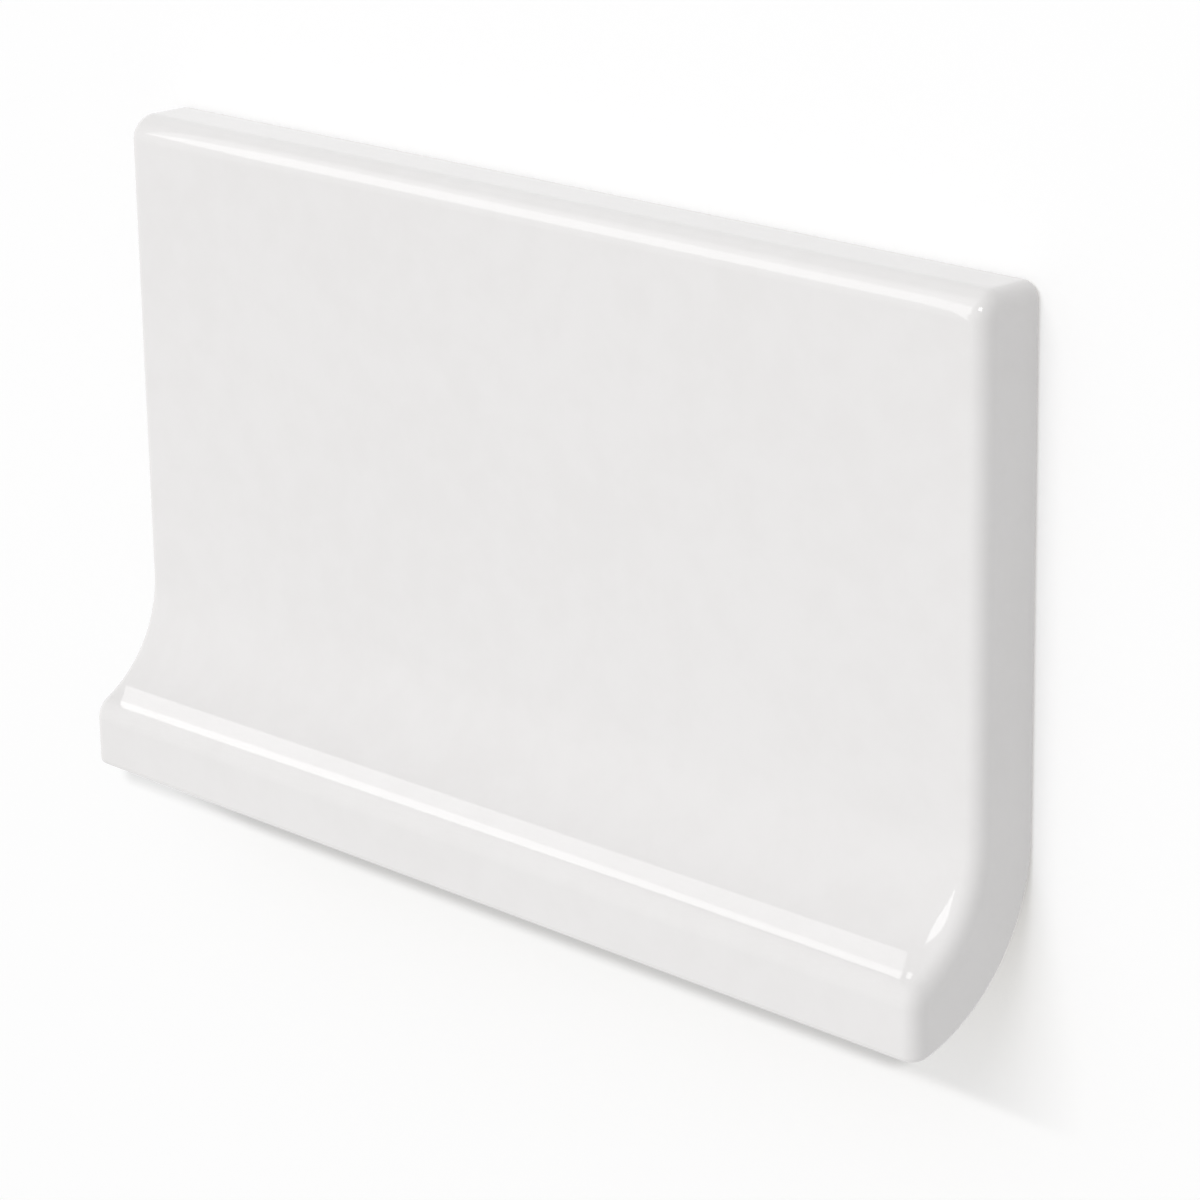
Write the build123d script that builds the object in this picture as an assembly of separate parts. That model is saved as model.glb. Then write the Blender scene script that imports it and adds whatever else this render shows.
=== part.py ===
"""Cove base trim tile: one fired piece, lying on its back with the glazed face up.

X runs along the tile, Y runs up its wall leaf from the toe to the top edge, and Z stands off the wall.
The origin is under the middle of the tile, on the plane of its back.
"""
import os
from math import sqrt

from build123d import *

# Overall sizes, in millimetres
tile_length = 152.4
tile_height = 88.9
wall_thickness = 9.5

# The bend at the foot of the wall leaf, and the toe that it ends in
cove_start_height = 24.8
cove_radius = 17.6
heel_radius = 23.6
toe_projection = 10.8
lip_radius = 3.3

# Rounded edges: full along the top, tighter round the glazed ends, slight round the back and along the foot
top_edge_radius = 3.4
end_edge_radius = 2.2
back_edge_radius = 0.8

# Keying grooves pressed into the unglazed back, stopping short of the ends
groove_count = 4
groove_width = 6.0
groove_depth = 1.0
groove_pitch = 13.0
groove_end_margin = 14.0
groove_draft_angle = 20.0

# Places that follow from the sizes
end_x = tile_length / 2
top_y = tile_height / 2
foot_y = -tile_height / 2
toe_face_z = wall_thickness + toe_projection

# The cove's hollow face and the heel behind it each have a centre of their own
cove_y = foot_y + cove_start_height
cove_z = wall_thickness + cove_radius
lip_corner_y = cove_y - sqrt(cove_radius**2 - (cove_z - toe_face_z) ** 2)

# The tile's height is measured over the rounded foot, which lies tangent to the heel and to the toe's face
heel_above_toe = heel_radius - toe_face_z
foot_round_reach = sqrt((heel_radius - back_edge_radius) ** 2 - (heel_above_toe + back_edge_radius) ** 2)
heel_y = foot_y + back_edge_radius + foot_round_reach
foot_corner_y = heel_y - sqrt(heel_radius**2 - heel_above_toe**2)


def cove_section():
    """The tile's section: a flat wall leaf, bent at its foot into a cove and cut off square at the toe."""
    foot = (foot_corner_y, toe_face_z)
    heel_start = (heel_y, 0)
    top_back = (top_y, 0)
    top_front = (top_y, wall_thickness)
    cove_start = (cove_y, wall_thickness)
    lip = (lip_corner_y, toe_face_z)
    with BuildSketch(Plane.YZ) as section:
        with BuildLine():
            RadiusArc(foot, heel_start, -heel_radius)
            Polyline(heel_start, top_back, top_front, cove_start)
            RadiusArc(cove_start, lip, cove_radius)
            Line(lip, foot)
        make_face()
        for corner, radius in ((lip, lip_radius), (top_front, top_edge_radius)):
            fillet(section.vertices().sort_by_distance(corner)[0], radius)
    return section.sketch


def shared_edges(first_faces, second_faces):
    """Edges where a face of the first group meets a face of the second."""
    return first_faces.edges() & second_faces.edges()


def back_faces(leaf):
    """The unglazed side: the flat of the back and the round of the heel."""
    return leaf.faces().filter_by(lambda face: face.normal_at().Z < -0.1)


def rounded_leaf():
    """The section drawn out to the tile's length, with its edges rounded."""
    leaf = extrude(cove_section(), amount=end_x, both=True)
    ends = leaf.faces().filter_by(Axis.X)
    glazed = leaf.faces() - ends - back_faces(leaf)
    leaf = fillet(shared_edges(glazed, ends), end_edge_radius)

    back = back_faces(leaf)
    return fillet(shared_edges(back, leaf.faces() - back), back_edge_radius)


def keying_grooves():
    """Shallow slots with drafted sides, spread over the flat of the back."""
    groove_length = tile_length - 2 * groove_end_margin
    with BuildPart() as grooves:
        with BuildSketch(Plane.XY):
            with Locations((0, (heel_y + top_y) / 2)):
                with GridLocations(0, groove_pitch, 1, groove_count):
                    SlotOverall(groove_length, groove_width)
        extrude(amount=groove_depth, taper=groove_draft_angle)
    return grooves.part


tile = rounded_leaf() - keying_grooves()

os.makedirs("parts", exist_ok=True)
export_step(tile, "parts/cove_tile.step")
print("cove_tile", round(tile.volume, 1), tile.bounding_box())
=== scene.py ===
# %% [markdown]
# A cove base tile finishes the foot of a tiled wall: a flat wall leaf bends through a
# smooth cove into a short toe that meets the floor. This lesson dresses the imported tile
# in a fine smooth skin and a white glaze, and photographs it lying on its back.

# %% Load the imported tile
from math import acos, cos, pi, radians, sin, sqrt, tan

import bmesh
import bpy
from mathutils import Matrix, Vector


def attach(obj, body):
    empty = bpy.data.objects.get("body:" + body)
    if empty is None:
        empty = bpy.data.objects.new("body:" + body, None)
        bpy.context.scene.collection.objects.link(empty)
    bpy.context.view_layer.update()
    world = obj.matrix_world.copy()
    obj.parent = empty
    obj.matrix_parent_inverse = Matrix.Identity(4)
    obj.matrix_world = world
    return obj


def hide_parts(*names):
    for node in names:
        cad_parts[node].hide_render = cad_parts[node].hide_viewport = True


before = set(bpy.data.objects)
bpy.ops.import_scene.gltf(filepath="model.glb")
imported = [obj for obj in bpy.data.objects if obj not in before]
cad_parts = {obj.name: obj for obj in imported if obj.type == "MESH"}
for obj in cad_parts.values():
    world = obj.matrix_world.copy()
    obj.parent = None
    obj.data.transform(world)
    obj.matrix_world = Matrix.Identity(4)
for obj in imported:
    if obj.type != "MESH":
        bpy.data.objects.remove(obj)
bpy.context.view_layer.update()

MM = 0.001

# %% [markdown]
# The sizes are those of the tile itself, in millimetres. The section needs only a few
# corners: each bend in it is one corner rounded off by its own radius. The cove and the
# lip share a tangent where they meet, so the corners follow from the slope there. The heel
# ends in one straight facet, long enough for the rolled end of the toe to be cut by it.

# %% Sizes of the tile and the corners of its section
tile_length, tile_height, wall_thickness = 152.4, 88.9, 9.5
cove_start_height, cove_radius, heel_radius = 24.8, 17.6, 23.6
toe_projection, lip_radius = 10.8, 3.3
top_edge_radius, end_edge_radius, back_edge_radius = 3.4, 2.2, 0.8

top_y, foot_y = tile_height / 2, -tile_height / 2
toe_z = wall_thickness + toe_projection
cove_y = foot_y + cove_start_height
cove_turn = acos(1 - toe_projection / (cove_radius + lip_radius))
lip_y = cove_y - (cove_radius + lip_radius) * sin(cove_turn)

heel_above_toe = heel_radius - toe_z
foot_reach = sqrt((heel_radius - back_edge_radius) ** 2
                  - (heel_above_toe + back_edge_radius) ** 2)
heel_y = foot_y + back_edge_radius + foot_reach
heel_turn = acos(heel_above_toe / heel_radius)
facet_length = 1.1 * end_edge_radius
facet_turn = heel_turn - facet_length / heel_radius

section_corners = (
    ((heel_y - heel_radius * tan(facet_turn / 2), 0.0), heel_radius),
    ((top_y, 0.0), 0.0),
    ((top_y, wall_thickness), top_edge_radius),
    ((cove_y - cove_radius * tan(cove_turn / 2), wall_thickness), cove_radius),
    ((lip_y + lip_radius * tan(cove_turn / 2), toe_z), lip_radius),
    ((heel_y - heel_radius * sin(heel_turn), toe_z), 0.0),
    ((heel_y - heel_radius * sin(facet_turn), heel_radius * (1 - cos(facet_turn))), 0.0),
)
for (y, z), radius in section_corners:
    print("corner", round(y, 2), round(z, 2), "rounded by", radius)

# %% [markdown]
# Both the shape and the finish are drawn with node trees. These helpers keep that short:
# one adds a node and fills its inputs, either with a value or with another node's output.

# %% Helpers for node trees and objects
def add_node(tree, kind, inputs=None, **settings):
    """A node with its settings, and with inputs set to values or joined to other sockets."""
    node = tree.nodes.new(kind)
    for name, value in settings.items():
        setattr(node, name, value)
    for key, value in (inputs or {}).items():
        if isinstance(value, bpy.types.NodeSocket):
            tree.links.new(value, node.inputs[key])
        else:
            node.inputs[key].default_value = value
    return node


def maths(tree, operation, *values):
    """One step of arithmetic on sockets or numbers."""
    inputs = dict(enumerate(values))
    return add_node(tree, "ShaderNodeMath", inputs, operation=operation).outputs[0]


def new_material(name):
    """A material with nodes, its tree and its output socket."""
    material = bpy.data.materials.new(name)
    material.use_nodes = True
    tree = material.node_tree
    return material, tree, tree.nodes["Material Output"].inputs["Surface"]


def add_object(name, data):
    """An object made from its data, put into the scene."""
    obj = bpy.data.objects.new(name, data)
    bpy.context.scene.collection.objects.link(obj)
    return obj


def plain_mesh(obj, name):
    """The finished mesh of an object, free of its modifiers."""
    bpy.context.view_layer.update()
    depsgraph = bpy.context.evaluated_depsgraph_get()
    mesh = bpy.data.meshes.new_from_object(obj.evaluated_get(depsgraph), depsgraph=depsgraph)
    mesh.name = name
    return mesh


print("helpers ready")

# %% [markdown]
# The glaze is a thin glass over a white body. It is nearly even, with faint clouds where it
# lies thicker or thinner, and a soft waviness that only the highlights show. It stops near
# the back, where the bare body shows, chalky and slightly warm. How near a point lies to the
# back or the heel follows from the section, so the glaze line bends round with the heel.

# %% Helpers for the glaze
def noise(tree, place, scale, detail, roughness=0.5):
    """A cloud pattern over the surface."""
    inputs = {"Vector": place, "Scale": scale, "Detail": detail, "Roughness": roughness}
    return add_node(tree, "ShaderNodeTexNoise", inputs).outputs["Fac"]


def ramp(tree, source, low, high):
    """A smooth change from nothing to full."""
    inputs = {"Value": source, "From Min": low, "From Max": high}
    node = add_node(tree, "ShaderNodeMapRange", inputs, interpolation_type="SMOOTHSTEP")
    return node.outputs["Result"]


def blend(tree, factor, first, second):
    """Mixes two colours."""
    inputs = {"Factor": factor, 6: first, 7: second}
    return add_node(tree, "ShaderNodeMix", inputs, data_type="RGBA").outputs[2]


print("glaze helpers ready")

# %% The glazed body
line_start, line_end, line_raggedness = 0.13 * MM, 0.22 * MM, 0.12 * MM
thin_glaze, thick_glaze = (0.806, 0.793, 0.788, 1), (0.822, 0.810, 0.806, 1)
dark_body, pale_body = (0.66, 0.62, 0.55, 1), (0.80, 0.76, 0.69, 1)
glaze_roughness, bare_roughness = 0.04, 0.80
cloud_share, drift_share, wave_share = 0.65, 0.35, 0.35

glaze, tree, _ = new_material("white_glaze")
surface = tree.nodes["Principled BSDF"]
place = add_node(tree, "ShaderNodeTexCoord").outputs["Object"]
point = add_node(tree, "ShaderNodeSeparateXYZ", {0: place}).outputs

below_bend = maths(tree, "MINIMUM", maths(tree, "SUBTRACT", point["Y"], heel_y * MM), 0.0)
from_heel = maths(tree, "SUBTRACT", point["Z"], heel_radius * MM)
square = maths(tree, "MULTIPLY_ADD", below_bend, below_bend,
               maths(tree, "MULTIPLY", from_heel, from_heel))
depth = maths(tree, "SUBTRACT", heel_radius * MM, maths(tree, "SQRT", square))
ragged = maths(tree, "MULTIPLY_ADD", noise(tree, place, 420.0, 3.0), line_raggedness, depth)
glazed = ramp(tree, ragged, line_start, line_end)

clouds = noise(tree, place, 190.0, 3.0, 0.6)
drift = noise(tree, place, 38.0, 2.0)
thickness = maths(tree, "MULTIPLY_ADD", clouds, cloud_share,
                  maths(tree, "MULTIPLY", drift, drift_share))
glaze_colour = blend(tree, ramp(tree, thickness, 0.35, 0.65), thin_glaze, thick_glaze)
grain = noise(tree, place, 2600.0, 4.0, 0.7)
body_colour = blend(tree, grain, dark_body, pale_body)
colour = blend(tree, glazed, body_colour, glaze_colour)
roughness = maths(tree, "MULTIPLY_ADD", glazed, glaze_roughness - bare_roughness, bare_roughness)
tree.links.new(colour, surface.inputs["Base Color"])
tree.links.new(roughness, surface.inputs["Roughness"])
surface.inputs["IOR"].default_value = 1.52

wave = maths(tree, "MULTIPLY", noise(tree, place, 120.0, 1.0), wave_share)
bare = maths(tree, "SUBTRACT", 1.0, glazed)
height = maths(tree, "MULTIPLY_ADD", grain, bare, wave)
relief = add_node(tree, "ShaderNodeBump", {
    "Strength": 0.25, "Distance": 0.05 * MM, "Height": height})
tree.links.new(relief.outputs[0], surface.inputs["Normal"])
print("glaze with", len(tree.nodes), "nodes")

# %% [markdown]
# The tile's shape follows a rule: one section, drawn out straight. Geometry Nodes suit
# that better than moving vertices about. The corners go in as a closed line whose points
# carry their radius, Fillet Curve rounds them, and Curve to Mesh draws the section out.

# %% Helpers for geometry trees
def new_tree(name, inputs):
    """A geometry tree with named inputs."""
    tree = bpy.data.node_groups.new(name, "GeometryNodeTree")
    tree.interface.new_socket("Geometry", in_out="INPUT", socket_type="NodeSocketGeometry")
    for title, kind in inputs.items():
        tree.interface.new_socket(title, in_out="INPUT", socket_type="NodeSocket" + kind)
    tree.interface.new_socket("Geometry", in_out="OUTPUT", socket_type="NodeSocketGeometry")
    return tree, tree.nodes.new("NodeGroupInput").outputs


def end_tree(tree, shape, material):
    """Ends a tree with real geometry and its material."""
    real = add_node(tree, "GeometryNodeRealizeInstances", {0: shape})
    dressed = add_node(tree, "GeometryNodeSetMaterial", {
        "Geometry": real.outputs[0], "Material": material})
    add_node(tree, "NodeGroupOutput", {"Geometry": dressed.outputs[0]})


def run_tree(obj, tree, values):
    """Puts a tree on an object, with each input set by its socket's identifier."""
    modifier = obj.modifiers.new(tree.name, "NODES")
    modifier.node_group = tree
    for item in tree.interface.items_tree:
        if item.in_out == "INPUT" and item.name in values:
            modifier[item.identifier] = values[item.name]


print("geometry helpers ready")

# %% The section, as a closed line with a radius at each corner
section_line = bpy.data.curves.new("tile_section", "CURVE")
section_line.fill_mode = "NONE"
spline = section_line.splines.new("POLY")
spline.points.add(len(section_corners) - 1)
spline.use_cyclic_u = True
for corner, ((y, z), radius) in zip(spline.points, section_corners):
    corner.co = (y * MM, z * MM, 0.0, 1.0)
    corner.radius = radius * MM
section = add_object("tile_section", section_line)
print("section line with", len(spline.points), "corners")

# %% Draw the section out to the tile's length
bend_steps, merge_distance = 28, 0.01 * MM
drawn, given = new_tree("drawn_leaf", {"Length": "Float", "Bend Steps": "Int"})
corner_radius = add_node(drawn, "GeometryNodeInputRadius").outputs[0]
rounded = add_node(drawn, "GeometryNodeFilletCurve", {
    "Curve": given["Geometry"], "Count": given["Bend Steps"],
    "Radius": corner_radius}, mode="POLY")
start, end = [add_node(drawn, "ShaderNodeCombineXYZ", {
    "Z": maths(drawn, "MULTIPLY", given["Length"], half)}).outputs[0] for half in (-0.5, 0.5)]
path = add_node(drawn, "GeometryNodeCurvePrimitiveLine", {"Start": start, "End": end})
sweep = add_node(drawn, "GeometryNodeCurveToMesh", {
    "Curve": path.outputs[0], "Profile Curve": rounded.outputs[0], "Fill Caps": True})
joined = add_node(drawn, "GeometryNodeMergeByDistance", {
    "Geometry": sweep.outputs[0], "Distance": merge_distance})
turned = add_node(drawn, "GeometryNodeTransform", {
    "Geometry": joined.outputs[0], "Rotation": (pi / 2, 0.0, pi / 2)})
end_tree(drawn, turned.outputs[0], glaze)

run_tree(section, drawn, {"Length": tile_length * MM, "Bend Steps": bend_steps})
tile = add_object("glazed_cove_tile", plain_mesh(section, "glazed_cove_tile"))
bpy.data.objects.remove(section)
print("drawn leaf:", len(tile.data.vertices), "points,", len(tile.data.polygons), "faces")

# %% [markdown]
# A pressed tile has no sharp edge. Round the glazed side the ends are rolled over, and
# round the back they are only eased. A Bevel modifier rounds each edge by its own
# weight. It runs twice, because the eased edge follows the ends that are rolled first.

# %% A helper that rounds edges, each by its own amount
def round_edges(obj, amount_of, steps):
    """Rounds edges by what amount_of gives, in millimetres, and keeps a plain mesh."""
    shape = bmesh.new()
    shape.from_mesh(obj.data)
    amounts = [amount_of([face.normal for face in edge.link_faces]) for edge in shape.edges]
    shape.free()
    widest = max(amounts)
    weights = obj.data.attributes.new("bevel_weight_edge", "FLOAT", "EDGE")
    weights.data.foreach_set("value", [amount / widest for amount in amounts])
    bevel = obj.modifiers.new("rounded_edges", "BEVEL")
    bevel.limit_method = "WEIGHT"
    bevel.offset_type = "OFFSET"
    bevel.width = widest * MM
    bevel.segments = steps
    bevel.use_clamp_overlap = False
    rounded_mesh = plain_mesh(obj, obj.name + "_rounded")
    obj.modifiers.clear()
    obj.data = rounded_mesh
    obj.data.attributes.remove(obj.data.attributes["bevel_weight_edge"])
    count = sum(amount > 0 for amount in amounts)
    print("rounded", count, "edges by up to", round(widest, 2), "mm")


print("edge helper ready")

# %% Roll the ends of the glazed side
def roll_amount(normals):
    """The roll where an end meets the glazed side or the top, and nothing elsewhere."""
    side, end = sorted(normals, key=lambda normal: abs(normal.x))
    return end_edge_radius if abs(end.x) > 0.9 and side.y + side.z > 0.0 else 0.0


round_edges(tile, roll_amount, steps=16)

# %% Ease the edges round the back and along the foot
def ease_amount(normals):
    """A small round of one radius: a sharper edge is cut back further for it."""
    turn = normals[0].angle(normals[1])
    return back_edge_radius * tan(turn / 2) if turn > radians(40) else 0.0


round_edges(tile, ease_amount, steps=8)

# %% [markdown]
# The back keeps shallow slots that the adhesive keys into. A former is made once, with
# sides that lean so that it draws out of the clay, and Geometry Nodes set out the row of
# them and cut them from the back.

# %% The former of one keying groove
groove_count, groove_width, groove_depth = 4, 6.0, 1.0
groove_pitch, groove_end_margin, groove_draft = 13.0, 14.0, radians(20)
former_overhang = 0.5


def slot_ring(shape, z, turn_steps=12):
    """A round-ended outline at one height, larger towards the mouth of the groove."""
    radius = groove_width / 2 - z * tan(groove_draft)
    reach = tile_length / 2 - groove_end_margin - groove_width / 2
    ring = []
    for side in (1, -1):
        for step in range(turn_steps + 1):
            angle = pi * (step / turn_steps - 0.5)
            x, y = side * (reach + radius * cos(angle)), side * radius * sin(angle)
            ring.append(shape.verts.new((x * MM, y * MM, z * MM)))
    return ring


shape = bmesh.new()
mouth, bottom = slot_ring(shape, -former_overhang), slot_ring(shape, groove_depth)
shape.faces.new(reversed(mouth))
shape.faces.new(bottom)
for here in range(len(mouth)):
    there = (here + 1) % len(mouth)
    shape.faces.new((mouth[here], mouth[there], bottom[there], bottom[here]))
mesh = bpy.data.meshes.new("groove_former")
shape.to_mesh(mesh)
shape.free()
former = add_object("groove_former", mesh)
print("former of", len(mesh.polygons), "faces")

# %% Set out the grooves and cut them
keyed, given = new_tree("keyed_back", {
    "Former": "Object", "Count": "Int", "Pitch": "Float", "Middle": "Float"})
spread = maths(keyed, "MULTIPLY", maths(keyed, "SUBTRACT", given["Count"], 1.0), given["Pitch"])
first = maths(keyed, "MULTIPLY_ADD", spread, -0.5, given["Middle"])
row = add_node(keyed, "GeometryNodeMeshLine", {
    "Count": given["Count"],
    "Start Location": add_node(keyed, "ShaderNodeCombineXYZ", {"Y": first}).outputs[0],
    "Offset": add_node(keyed, "ShaderNodeCombineXYZ", {"Y": given["Pitch"]}).outputs[0]})
pattern = add_node(keyed, "GeometryNodeObjectInfo", {
    "Object": given["Former"], "As Instance": True})
placed = add_node(keyed, "GeometryNodeInstanceOnPoints", {
    "Points": row.outputs["Mesh"], "Instance": pattern.outputs["Geometry"]})
formers = add_node(keyed, "GeometryNodeRealizeInstances", {0: placed.outputs[0]})
cut = add_node(keyed, "GeometryNodeMeshBoolean", operation="DIFFERENCE", solver="EXACT")
keyed.links.new(given["Geometry"], cut.inputs["Mesh 1"])
keyed.links.new(formers.outputs[0], cut.inputs["Mesh 2"])

smooth = add_node(keyed, "GeometryNodeSetShadeSmooth", {"Geometry": cut.outputs[0]})
edge_angle = add_node(keyed, "GeometryNodeInputMeshEdgeAngle").outputs["Unsigned Angle"]
steep = add_node(keyed, "FunctionNodeCompare", {"A": edge_angle, "B": radians(50)})
crisp = add_node(keyed, "GeometryNodeSetShadeSmooth", {
    "Geometry": smooth.outputs[0], "Selection": steep.outputs[0],
    "Shade Smooth": False}, domain="EDGE")
end_tree(keyed, crisp.outputs[0], glaze)

run_tree(tile, keyed, {"Former": former, "Count": groove_count, "Pitch": groove_pitch * MM,
                       "Middle": (heel_y + top_y) / 2 * MM})
even = tile.modifiers.new("even_normals", "WEIGHTED_NORMAL")
even.mode = "FACE_AREA"
even.keep_sharp = True
finished = plain_mesh(tile, "glazed_cove_tile_skin")
tile.modifiers.clear()
tile.data = finished
bpy.data.objects.remove(former)
print("finished skin:", len(finished.vertices), "points,", len(finished.polygons), "faces")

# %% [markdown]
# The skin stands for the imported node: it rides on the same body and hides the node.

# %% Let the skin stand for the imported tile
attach(tile, "root")
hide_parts("cove_tile")
print("skin replaces", "cove_tile")

# %% [markdown]
# The tile lies on a plain white floor. The rays that see the floor find it nearly as white
# as paper, with a small share of plain white mixed in, and its shading keeps the tile's
# shadow. The light that it bounces back comes off a darker paper, so that the right end
# of the tile stays in shade.

# %% Floor
floor_reach, floor_z, floor_white_share = 2.0, -0.05 * MM, 0.05
seen_shade, bounce_shade = 0.96, 0.70
floor_mesh = bpy.data.meshes.new("floor")
floor_corners = [(x * floor_reach, y * floor_reach, floor_z)
                 for x, y in ((-1, -1), (1, -1), (1, 1), (-1, 1))]
floor_mesh.from_pydata(floor_corners, [], [(0, 1, 2, 3)])
floor = add_object("floor", floor_mesh)
floor_finish, tree, shown = new_material("white_floor")
tree.nodes.remove(tree.nodes["Principled BSDF"])
rays = add_node(tree, "ShaderNodeLightPath").outputs
seen = maths(tree, "MAXIMUM", rays["Is Camera Ray"], rays["Is Glossy Ray"])
seen = maths(tree, "MAXIMUM", seen, rays["Is Transmission Ray"])
shade = maths(tree, "MULTIPLY_ADD", seen, seen_shade - bounce_shade, bounce_shade)
paper = add_node(tree, "ShaderNodeBsdfDiffuse", {"Color": shade})
white = add_node(tree, "ShaderNodeEmission")
mixed = add_node(tree, "ShaderNodeMixShader", {
    0: maths(tree, "MULTIPLY", seen, floor_white_share), 1: paper.outputs[0], 2: white.outputs[0]})
tree.links.new(mixed.outputs[0], shown)
floor_mesh.materials.append(floor_finish)
print("floor", 2 * floor_reach, "m wide")

# %% [markdown]
# An even sky lights everything, and the glaze mirrors one plain level all round. One soft
# sun stands high and to the left, so that the right end falls into shade, and a faint one
# beyond the top edge lights that edge. As in a studio, the floor has lamps of its own: a long
# one beyond the top edge for the soft shadow, and a narrow sun near the camera for the thin
# dark line under the toe. Light linking keeps each lamp to what it is for.

# %% Sky and lamps
sky_level, mirror_level = 0.64, 0.9
lamp_distance = 5.0
soft, narrow = radians(45), radians(3)
world = bpy.data.worlds.new("studio")
bpy.context.scene.world = world
world.use_nodes = True
tree = world.node_tree
rays = add_node(tree, "ShaderNodeLightPath").outputs
level = maths(tree, "MULTIPLY_ADD", rays["Is Glossy Ray"], mirror_level - sky_level, sky_level)
sky = tree.nodes["Background"]
sky.inputs["Color"].default_value = (1.0, 1.0, 1.0, 1.0)
tree.links.new(maths(tree, "MAXIMUM", level, rays["Is Camera Ray"]), sky.inputs["Strength"])


def add_lamp(name, kind, energy, towards, lights, **settings):
    """A lamp, kept out of the mirror of the glaze, that lights one object from afar."""
    data = bpy.data.lights.new(name, kind)
    data.energy = energy
    for setting, value in settings.items():
        setattr(data, setting, value)
    lamp = add_object(name, data)
    lamp.location = Vector(towards).normalized() * lamp_distance
    lamp.rotation_mode = "QUATERNION"
    lamp.rotation_quaternion = Vector(towards).to_track_quat("Z", "Y")
    lamp.visible_glossy = False
    lamp.light_linking.receiver_collection = bpy.data.collections.new(name + "_lights")
    lamp.light_linking.receiver_collection.objects.link(lights)
    print(name, "at", energy, "lights the", lights.name)


add_lamp("high_sun", "SUN", 1.08, (-0.33, 0.10, 0.94), tile, angle=soft)
add_lamp("top_edge_sun", "SUN", 0.40, (-0.2, 0.93, 0.3), tile, angle=soft)
add_lamp("toe_line_sun", "SUN", 1.02, (1.05, 0.65, 1.0), floor, angle=narrow)
add_lamp("floor_lamp", "AREA", 60.0, (0.05, 0.635, 1.0), floor,
         shape="RECTANGLE", size=4.0, size_y=0.2)
bpy.context.scene.view_settings.view_transform = "Standard"

# %% [markdown]
# Glaze is shown by its highlights. A photographer draws them with strips of white card laid
# close to the edges. Here each card is a small mesh that only mirror rays see and that glows
# on one side: one in front of the lip, one above the top edge and one behind it, one at the
# right end of the cove, and two specks for the corners. A value at each corner of a face says
# how brightly it glows. The cards are placed for this camera, in millimetres.

# %% A helper that makes a card
card_glow, tree, shown = new_material("card_glow")
tree.nodes.remove(tree.nodes["Principled BSDF"])
glow = add_node(tree, "ShaderNodeAttribute", attribute_name="glow").outputs["Fac"]
emission = add_node(tree, "ShaderNodeEmission", {"Strength": glow})
clear = add_node(tree, "ShaderNodeBsdfTransparent")
behind = add_node(tree, "ShaderNodeNewGeometry").outputs["Backfacing"]
one_sided = add_node(tree, "ShaderNodeMixShader", {
    0: behind, 1: emission.outputs[0], 2: clear.outputs[0]})
tree.links.new(one_sided.outputs[0], shown)


def add_card(name, lines, glows):
    """A card between lines of points, with the glow at the start and end of each step."""
    count = len(lines[0])
    points = [Vector(point) * MM for line in lines for point in line]
    faces, levels = [], []
    for row, (low, high) in enumerate(glows):
        for step in range(count - 1):
            first = row * count + step
            faces.append((first, first + 1, first + 1 + count, first + count))
            levels.extend((low, low, high, high))
    mesh = bpy.data.meshes.new(name)
    mesh.from_pydata(points, [], faces)
    mesh.attributes.new("glow", "FLOAT", "CORNER").data.foreach_set("value", levels)
    mesh.materials.append(card_glow)
    card = add_object(name, mesh)
    card.visible_camera = card.visible_diffuse = card.visible_shadow = False
    card.visible_transmission = card.visible_volume_scatter = False
    print(name, "of", len(faces), "faces")


print("card material with", len(tree.nodes), "nodes")

# %% The card in front of the lip, with a strip that widens with distance from the camera
strip_glow, band_glow, fade_glow = 3.8, 2.5, 1.3
lip_card_y = -31.0
stops = (-76.5, *range(-63, 70, 12))
band_foot = [(x, lip_card_y, 16.69 - 0.005 * x) for x in stops]
strip_foot = [(x, lip_card_y, 17.94 + 0.5 * (max(0, 28 - x) / 100) ** 2) for x in stops]
strip_head = [(x, lip_card_y, 18.5 + 0.030 * max(0, 24 - x)) for x in stops]
fade_head = [(x, lip_card_y, 28.0) for x in stops]
add_card("lip_card", (band_foot, strip_foot, strip_head, fade_head),
         ((band_glow, band_glow), (strip_glow, strip_glow), (fade_glow, mirror_level)))

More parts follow.
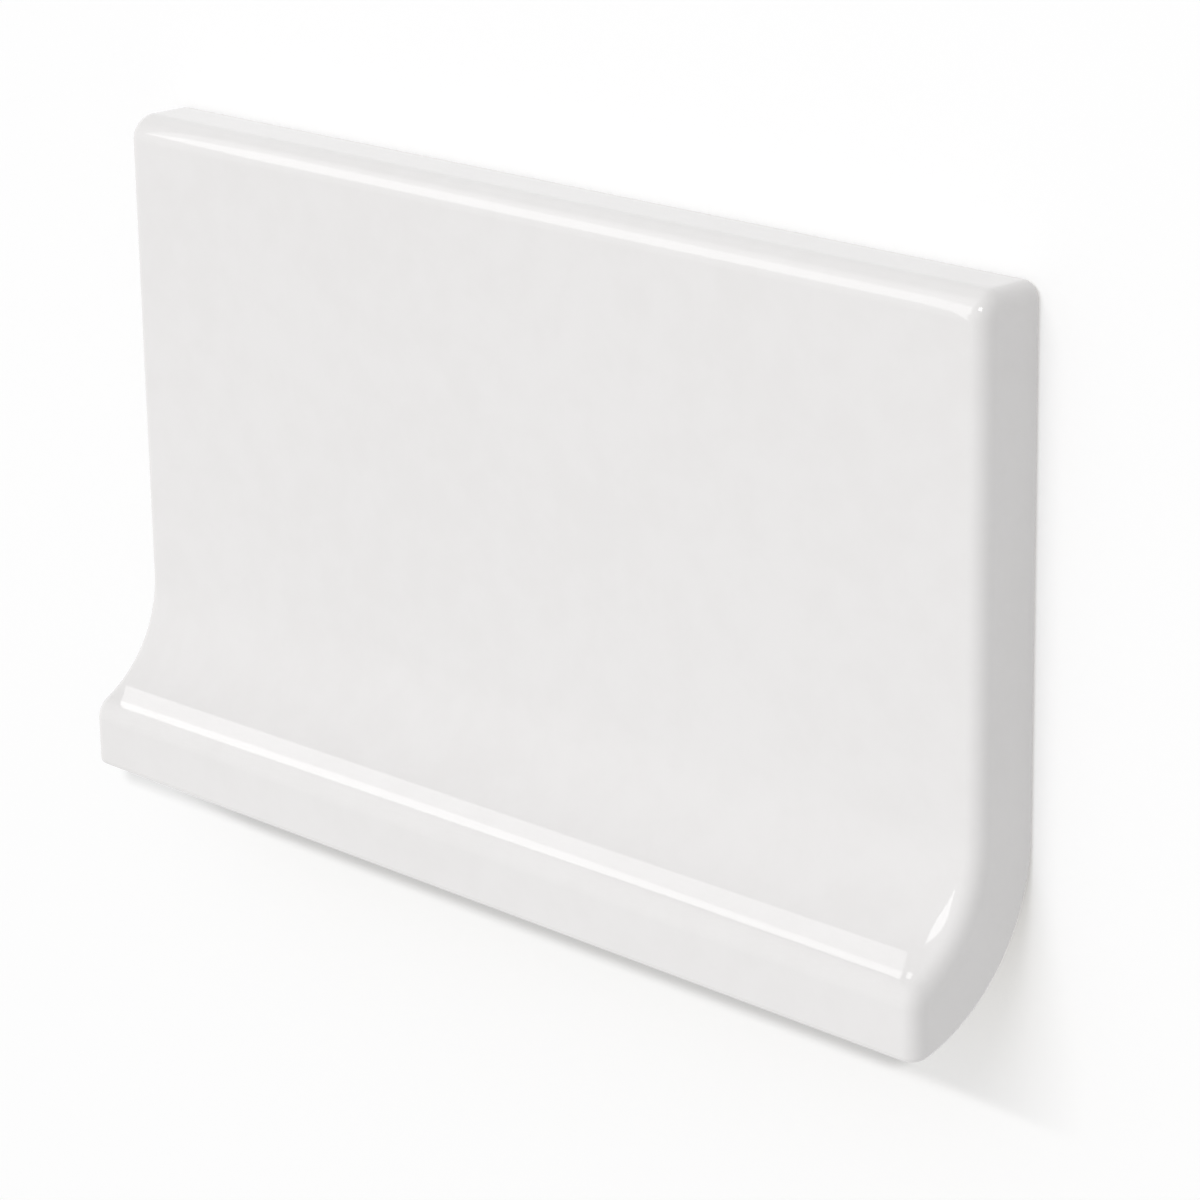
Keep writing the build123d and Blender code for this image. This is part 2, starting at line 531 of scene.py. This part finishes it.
# %% The cards above and behind the top edge
strip_glow, outer_glow, inner_glow, back_glow = 3.0, 1.8, 1.2, 1.2
top_card_z, back_card_z = 14.0, 0.2
stops = (-79, -74, -56, 62, 67.5, 69.8)
fade_in = [(x, 39.6, top_card_z) for x in stops]
strip_in = [(x, y, top_card_z) for x, y in zip(stops, (45.0, 44.4, 43.4, 43.2, 42.6, 40.4))]
strip_out = [(x, y, top_card_z) for x, y in zip(stops, (45.2, 46.8, 49.6, 48.2, 47.0, 46.2))]
fade_out = [(x, 70.0, top_card_z) for x in stops]
add_card("top_card", (fade_out, strip_out, strip_in, fade_in),
         ((mirror_level, outer_glow), (strip_glow, strip_glow), (inner_glow, mirror_level)))
add_card("back_card", [[(x, y, back_card_z) for x in (-240, 76)] for y in (44.6, 200)],
         ((back_glow, mirror_level),))

# %% The card at the end of the cove, and the specks
end_glow, speck_glow = 3.8, 7.6
cove_card_z = 16.0
stops = (-24.6, -26.4, -27.6, -29.2)
card_left = [(x, y, cove_card_z) for x, y in zip((69.1, 68.7, 69.0, 69.9), stops)]
card_right = [(x, y, cove_card_z) for x, y in zip((69.2, 70.1, 70.2, 70.0), stops)]
add_card("cove_end_card", (card_right, card_left), ((end_glow, end_glow),))
add_card("lip_speck", [[(x, lip_card_y, z) for x in (69.7, 70.5)] for z in (17.8, 18.25)],
         ((end_glow, end_glow),))
add_card("top_speck", [[(x, y, top_card_z) for x in (74.8, 77.8)] for y in (48.2, 45.3)],
         ((speck_glow, speck_glow),))

# %% [markdown]
# The camera looks down on the tile from beyond its right end, so that the tile fills the
# picture as it would standing on its toe. Its three axes give its turn directly.

# %% Camera
camera_data = bpy.data.cameras.new("camera")
camera_data.lens, camera_data.sensor_width = 133.73, 36.0
camera_data.clip_start, camera_data.clip_end = 0.01, 10.0
camera = add_object("camera", camera_data)
picture_right = Vector((0.69434, -0.01645, -0.71946)).normalized()
picture_up = Vector((-0.20571, 0.95349, -0.22033)).normalized()
camera_place = Vector((392.04, 160.90, 370.59)) * MM
turn = Matrix((picture_right, picture_up, picture_right.cross(picture_up))).transposed()
camera.matrix_world = Matrix.Translation(camera_place) @ turn.to_4x4()
bpy.context.scene.camera = camera
print("camera at", [round(x, 3) for x in camera.location])
